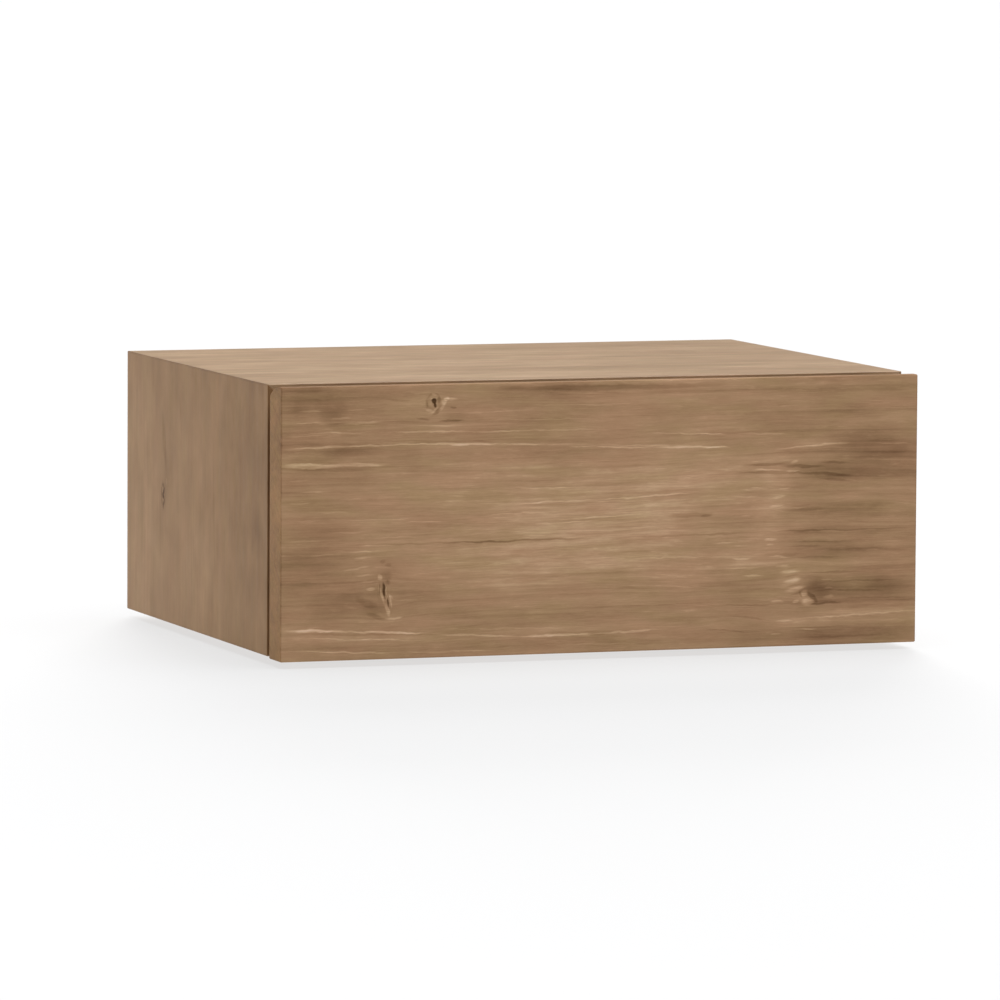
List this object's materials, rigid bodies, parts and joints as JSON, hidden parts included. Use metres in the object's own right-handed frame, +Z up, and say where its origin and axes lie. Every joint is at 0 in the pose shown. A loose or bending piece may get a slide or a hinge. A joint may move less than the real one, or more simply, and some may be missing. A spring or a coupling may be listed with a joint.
{
  "type": "wall-hung nightstand with drawer",
  "caption": "Low box-shaped wall-hung nightstand in stained solid wood, with mitred corners and a full-width drawer pulled by a bevelled finger edge",
  "frame": {"origin": "centre of the rear face of the back board, in the plane that lies against the wall, halfway up the carcass", "axes": "+X to the right seen from in front, +Y into the wall (the drawer front faces -Y), +Z up"},
  "size_m": [0.4, 0.31, 0.161],
  "materials": {
    "stained_wood": "stained and waxed knotty pine, satin",
    "drawer_wood": "clear-lacquered pine, satin",
    "plywood": "sanded birch plywood",
    "beech": "raw pressed beech",
    "zinc_steel": "bright zinc plate",
    "screw_steel": "yellow zinc plate",
    "black_plastic": "moulded, fine texture",
    "soft_buffer": "soft translucent grey"
  },
  "bodies": {
    "carcass": {"back_dowel_lower_left": "beech", "back_dowel_lower_right": "beech", "back_dowel_upper_left": "beech", "back_dowel_upper_right": "beech", "back_panel": "stained_wood", "bottom_panel": "stained_wood", "cabinet_member_left": "zinc_steel", "cabinet_member_right": "zinc_steel", "cabinet_member_screw_left_front": "screw_steel", "cabinet_member_screw_left_rear": "screw_steel", "cabinet_member_screw_right_front": "screw_steel", "cabinet_member_screw_right_rear": "screw_steel", "hanger_screw_left_inner": "screw_steel", "hanger_screw_left_outer": "screw_steel", "hanger_screw_right_inner": "screw_steel", "hanger_screw_right_outer": "screw_steel", "keyhole_hanger_left": "zinc_steel", "keyhole_hanger_right": "zinc_steel", "left_side_panel": "stained_wood", "mitre_biscuit_bottom_left_front": "beech", "mitre_biscuit_bottom_left_rear": "beech", "mitre_biscuit_bottom_right_front": "beech", "mitre_biscuit_bottom_right_rear": "beech", "mitre_biscuit_top_left_front": "beech", "mitre_biscuit_top_left_rear": "beech", "mitre_biscuit_top_right_front": "beech", "mitre_biscuit_top_right_rear": "beech", "right_side_panel": "stained_wood", "top_panel": "stained_wood"},
    "drawer": {"drawer_bottom": "plywood", "drawer_box_back": "drawer_wood", "drawer_box_front": "drawer_wood", "drawer_buffer_left": "soft_buffer", "drawer_buffer_right": "soft_buffer", "drawer_front": "stained_wood", "drawer_front_screw_lower_left": "screw_steel", "drawer_front_screw_lower_right": "screw_steel", "drawer_front_screw_upper_left": "screw_steel", "drawer_front_screw_upper_right": "screw_steel", "drawer_member_left": "zinc_steel", "drawer_member_right": "zinc_steel", "drawer_member_screw_left_front": "screw_steel", "drawer_member_screw_left_rear": "screw_steel", "drawer_member_screw_right_front": "screw_steel", "drawer_member_screw_right_rear": "screw_steel", "drawer_side_left": "drawer_wood", "drawer_side_right": "drawer_wood", "lever_rivet_left": "zinc_steel", "lever_rivet_right": "zinc_steel"},
    "left_middle_member": {"middle_member_left": "zinc_steel"},
    "right_middle_member": {"middle_member_right": "zinc_steel"},
    "left_outer_cage": {"outer_ball_cage_left": "zinc_steel"},
    "right_outer_cage": {"outer_ball_cage_right": "zinc_steel"},
    "left_inner_cage": {"inner_ball_cage_left": "zinc_steel"},
    "right_inner_cage": {"inner_ball_cage_right": "zinc_steel"},
    "left_release_lever": {"release_lever_left": "black_plastic"},
    "right_release_lever": {"release_lever_right": "black_plastic"}
  },
  "joints": [
    {"name": "drawer_slide", "type": "slide", "parent": "carcass", "child": "drawer", "axis": [0, -1, 0], "range_m": [0, 0.25]},
    {"name": "left_middle_member_slide", "type": "slide", "parent": "carcass", "child": "left_middle_member", "axis": [0, -1, 0], "range_m": [0, 0.125]},
    {"name": "left_outer_cage_slide", "type": "slide", "parent": "carcass", "child": "left_outer_cage", "axis": [0, -1, 0], "range_m": [0, 0.0625]},
    {"name": "left_inner_cage_slide", "type": "slide", "parent": "carcass", "child": "left_inner_cage", "axis": [0, -1, 0], "range_m": [0, 0.1875]},
    {"name": "right_middle_member_slide", "type": "slide", "parent": "carcass", "child": "right_middle_member", "axis": [0, -1, 0], "range_m": [0, 0.125]},
    {"name": "right_outer_cage_slide", "type": "slide", "parent": "carcass", "child": "right_outer_cage", "axis": [0, -1, 0], "range_m": [0, 0.0625]},
    {"name": "right_inner_cage_slide", "type": "slide", "parent": "carcass", "child": "right_inner_cage", "axis": [0, -1, 0], "range_m": [0, 0.1875]},
    {"name": "left_lever_pivot", "type": "hinge", "parent": "drawer", "child": "left_release_lever", "pos_m": [-0.1732, -0.077, -0.006], "axis": [1, 0, 0], "range_deg": [-6, 6], "stiffness_Nm_per_rad": 0.1},
    {"name": "right_lever_pivot", "type": "hinge", "parent": "drawer", "child": "right_release_lever", "pos_m": [0.1732, -0.077, -0.006], "axis": [1, 0, 0], "range_deg": [-6, 6], "stiffness_Nm_per_rad": 0.1}
  ],
  "couplings": [
    {"joint": "left_middle_member_slide", "follows": "drawer_slide", "ratio": 0.5},
    {"joint": "left_outer_cage_slide", "follows": "drawer_slide", "ratio": 0.25},
    {"joint": "left_inner_cage_slide", "follows": "drawer_slide", "ratio": 0.75},
    {"joint": "right_middle_member_slide", "follows": "drawer_slide", "ratio": 0.5},
    {"joint": "right_outer_cage_slide", "follows": "drawer_slide", "ratio": 0.25},
    {"joint": "right_inner_cage_slide", "follows": "drawer_slide", "ratio": 0.75}
  ]
}
